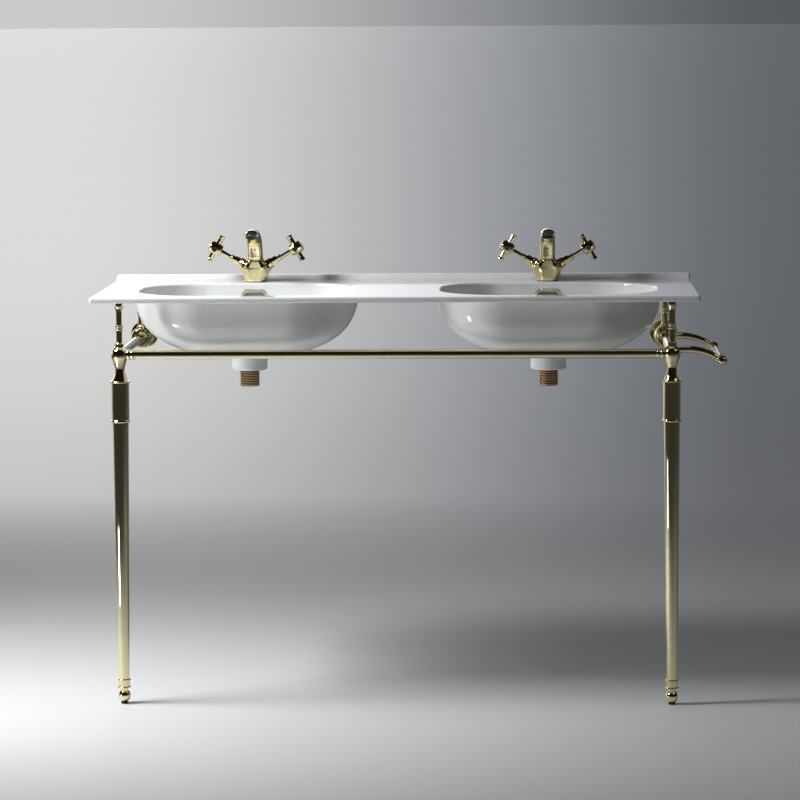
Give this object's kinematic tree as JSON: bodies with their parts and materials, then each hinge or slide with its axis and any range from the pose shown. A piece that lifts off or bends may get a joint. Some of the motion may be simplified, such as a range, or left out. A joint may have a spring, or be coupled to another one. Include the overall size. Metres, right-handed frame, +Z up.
{
  "type": "double console washbasin with legs",
  "caption": "Console washstand: ceramic top with twin bowls on a turned brass stand with legs, rails to the wall, a towel rail and cross-handle basin taps.",
  "frame": {"origin": "centre of the top's rear edge on the wall plane, level with the deck's top face", "axes": "+X to the right seen from the front, +Y into the wall, +Z up"},
  "size_m": [1.31, 0.47, 0.9688],
  "materials": {
    "ceramic": "white glossy glaze",
    "polished_brass": "polished pale gold, lacquered",
    "ring_brass": "polished trim",
    "raw_brass": "unplated, machined",
    "enamel": "white enamel",
    "rubber": "black",
    "black_plastic": "black nylon",
    "steel": "zinc plated"
  },
  "bodies": {
    "console": {"basin_top": "ceramic", "overflow_rings": "ring_brass", "waste_body_left": "raw_brass", "tap_body_left": "polished_brass", "valve_bonnets_left": "polished_brass", "corner_casting_left": "polished_brass", "leg_sleeve_left": "polished_brass", "leg_tube_left": "polished_brass", "foot_ferrule_left": "polished_brass", "front_post_left": "polished_brass", "rear_post_left": "polished_brass", "side_rail_left": "polished_brass", "rear_hub_left": "polished_brass", "wall_flange_left": "polished_brass", "waste_body_right": "raw_brass", "tap_body_right": "polished_brass", "valve_bonnets_right": "polished_brass", "corner_casting_right": "polished_brass", "leg_sleeve_right": "polished_brass", "leg_tube_right": "polished_brass", "foot_ferrule_right": "polished_brass", "front_post_right": "polished_brass", "rear_post_right": "polished_brass", "side_rail_right": "polished_brass", "rear_hub_right": "polished_brass", "wall_flange_right": "polished_brass", "waste_seals": "rubber", "tap_gaskets": "rubber", "post_pads": "rubber", "waste_nuts": "raw_brass", "leg_inserts": "raw_brass", "tap_fixings": "steel", "wall_plates": "steel", "aerators": "black_plastic", "front_rail": "polished_brass", "rail_ferrules": "polished_brass", "towel_arm_front": "polished_brass", "towel_arm_rear": "polished_brass", "towel_knobs": "polished_brass", "towel_bar": "polished_brass"},
    "left_hot_handle": {"handle_left_hot": "polished_brass", "spindle_left_hot": "raw_brass", "index_left_hot": "enamel"},
    "left_cold_handle": {"handle_left_cold": "polished_brass", "spindle_left_cold": "raw_brass", "index_left_cold": "enamel"},
    "left_plug": {"plug_left": "polished_brass", "plug_seal_left": "rubber"},
    "left_foot": {"levelling_foot_left": "polished_brass", "foot_glide_left": "black_plastic"},
    "right_hot_handle": {"handle_right_hot": "polished_brass", "spindle_right_hot": "raw_brass", "index_right_hot": "enamel"},
    "right_cold_handle": {"handle_right_cold": "polished_brass", "spindle_right_cold": "raw_brass", "index_right_cold": "enamel"},
    "right_plug": {"plug_right": "polished_brass", "plug_seal_right": "rubber"},
    "right_foot": {"levelling_foot_right": "polished_brass", "foot_glide_right": "black_plastic"}
  },
  "joints": [
    {"name": "left_hot_turn", "type": "hinge", "parent": "console", "child": "left_hot_handle", "pos_m": [-0.40304, -0.062, 0.07185], "axis": [-0.866, 0, 0.5], "range_deg": [0, 90]},
    {"name": "left_cold_turn", "type": "hinge", "parent": "console", "child": "left_cold_handle", "pos_m": [-0.22896, -0.062, 0.07185], "axis": [-0.866, 0, -0.5], "range_deg": [0, 90]},
    {"name": "left_plug_press", "type": "slide", "parent": "console", "child": "left_plug", "axis": [0, 0, -1], "range_m": [0, 0.008]},
    {"name": "left_foot_screw", "type": "slide", "parent": "console", "child": "left_foot", "axis": [0, 0, 1], "range_m": [-0.01, 0.006]},
    {"name": "right_hot_turn", "type": "hinge", "parent": "console", "child": "right_hot_handle", "pos_m": [0.22896, -0.062, 0.07185], "axis": [-0.866, 0, 0.5], "range_deg": [0, 90]},
    {"name": "right_cold_turn", "type": "hinge", "parent": "console", "child": "right_cold_handle", "pos_m": [0.40304, -0.062, 0.07185], "axis": [-0.866, 0, -0.5], "range_deg": [0, 90]},
    {"name": "right_plug_press", "type": "slide", "parent": "console", "child": "right_plug", "axis": [0, 0, -1], "range_m": [0, 0.008]},
    {"name": "right_foot_screw", "type": "slide", "parent": "console", "child": "right_foot", "axis": [0, 0, 1], "range_m": [-0.01, 0.006]}
  ]
}
